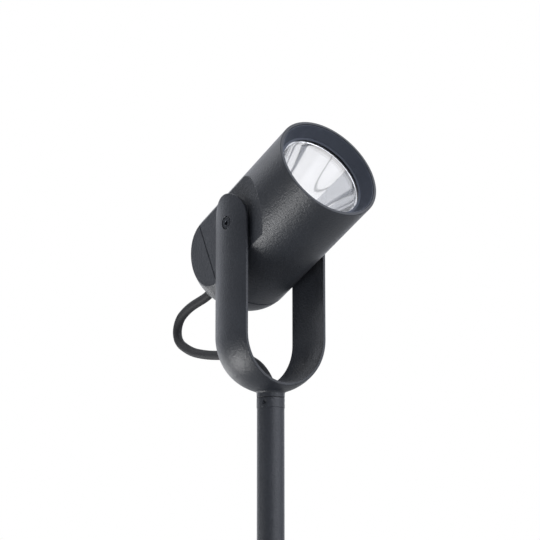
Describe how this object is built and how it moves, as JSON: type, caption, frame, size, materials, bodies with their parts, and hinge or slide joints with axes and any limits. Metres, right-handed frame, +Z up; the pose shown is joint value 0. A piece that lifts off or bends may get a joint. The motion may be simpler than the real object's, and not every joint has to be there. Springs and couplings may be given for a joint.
{
  "type": "outdoor spotlight",
  "caption": "Pole-mounted outdoor spotlight: a round lamp head tilts in a fork-shaped yoke that swivels on a slim pole with a bolt-down foot.",
  "frame": {"origin": "centre of the foot plate's underside, on the pole's axis", "axes": "+Z up along the pole, X along the tilt axis, the lamp shines towards -Y and up, the cable loops on the +Y side"},
  "size_m": [0.13, 0.2639, 0.5884],
  "materials": {
    "cast_aluminium": "matte",
    "coated_steel": "matte",
    "matt_black": "matte",
    "black_plastic": "matte",
    "black_rubber": "matte",
    "clear_glass": "gloss",
    "bright_reflector": "polished",
    "bare_aluminium": "satin",
    "steel": "satin",
    "dark_screw": "satin",
    "brass": "satin",
    "white_plastic": "matte",
    "board": "matte",
    "phosphor": "matte",
    "wire": "satin"
  },
  "bodies": {
    "post": {"collar": "cast_aluminium", "set_screws": "dark_screw", "pole": "cast_aluminium", "pole_lead": "black_rubber", "terminal_block": "black_plastic", "foot_plate": "coated_steel", "foot_socket": "coated_steel", "grub_screws": "dark_screw", "foot_grommet": "black_rubber"},
    "yoke": {"yoke": "cast_aluminium", "pivot_bushes": "brass", "yoke_grommet": "black_rubber", "cable_loop": "black_rubber", "swivel_stem": "steel", "stem_nut": "steel", "stem_lead": "black_rubber", "swivel_washer": "black_plastic"},
    "head": {"front_housing": "cast_aluminium", "rear_cap": "cast_aluminium", "cap_seal": "black_rubber", "cap_screws": "steel", "glare_ring": "matt_black", "glass_gasket": "black_rubber", "front_glass": "clear_glass", "trim_ring": "black_plastic", "reflector": "bright_reflector", "lens_holder": "white_plastic", "lamp_board": "board", "light_source": "phosphor", "board_screws": "steel", "lamp_leads": "wire", "driver": "white_plastic", "driver_bracket": "bare_aluminium", "bracket_screws": "steel", "gland_body": "black_plastic", "gland_cap": "black_plastic", "gland_seal": "black_rubber", "gland_nut": "brass", "head_lead": "black_rubber", "lead_cores": "wire", "pivot_screws": "dark_screw", "pivot_washers": "black_plastic"}
  },
  "joints": [
    {"name": "yoke_pan", "type": "hinge", "parent": "post", "child": "yoke", "pos_m": [0, 0, 0.344], "axis": [0, 0, 1], "range_deg": [-170, 170]},
    {"name": "head_tilt", "type": "hinge", "parent": "yoke", "child": "head", "pos_m": [0, 0, 0.5], "axis": [-1, 0, 0], "range_deg": [-46, 25], "deforming": ["cable_loop"]}
  ]
}
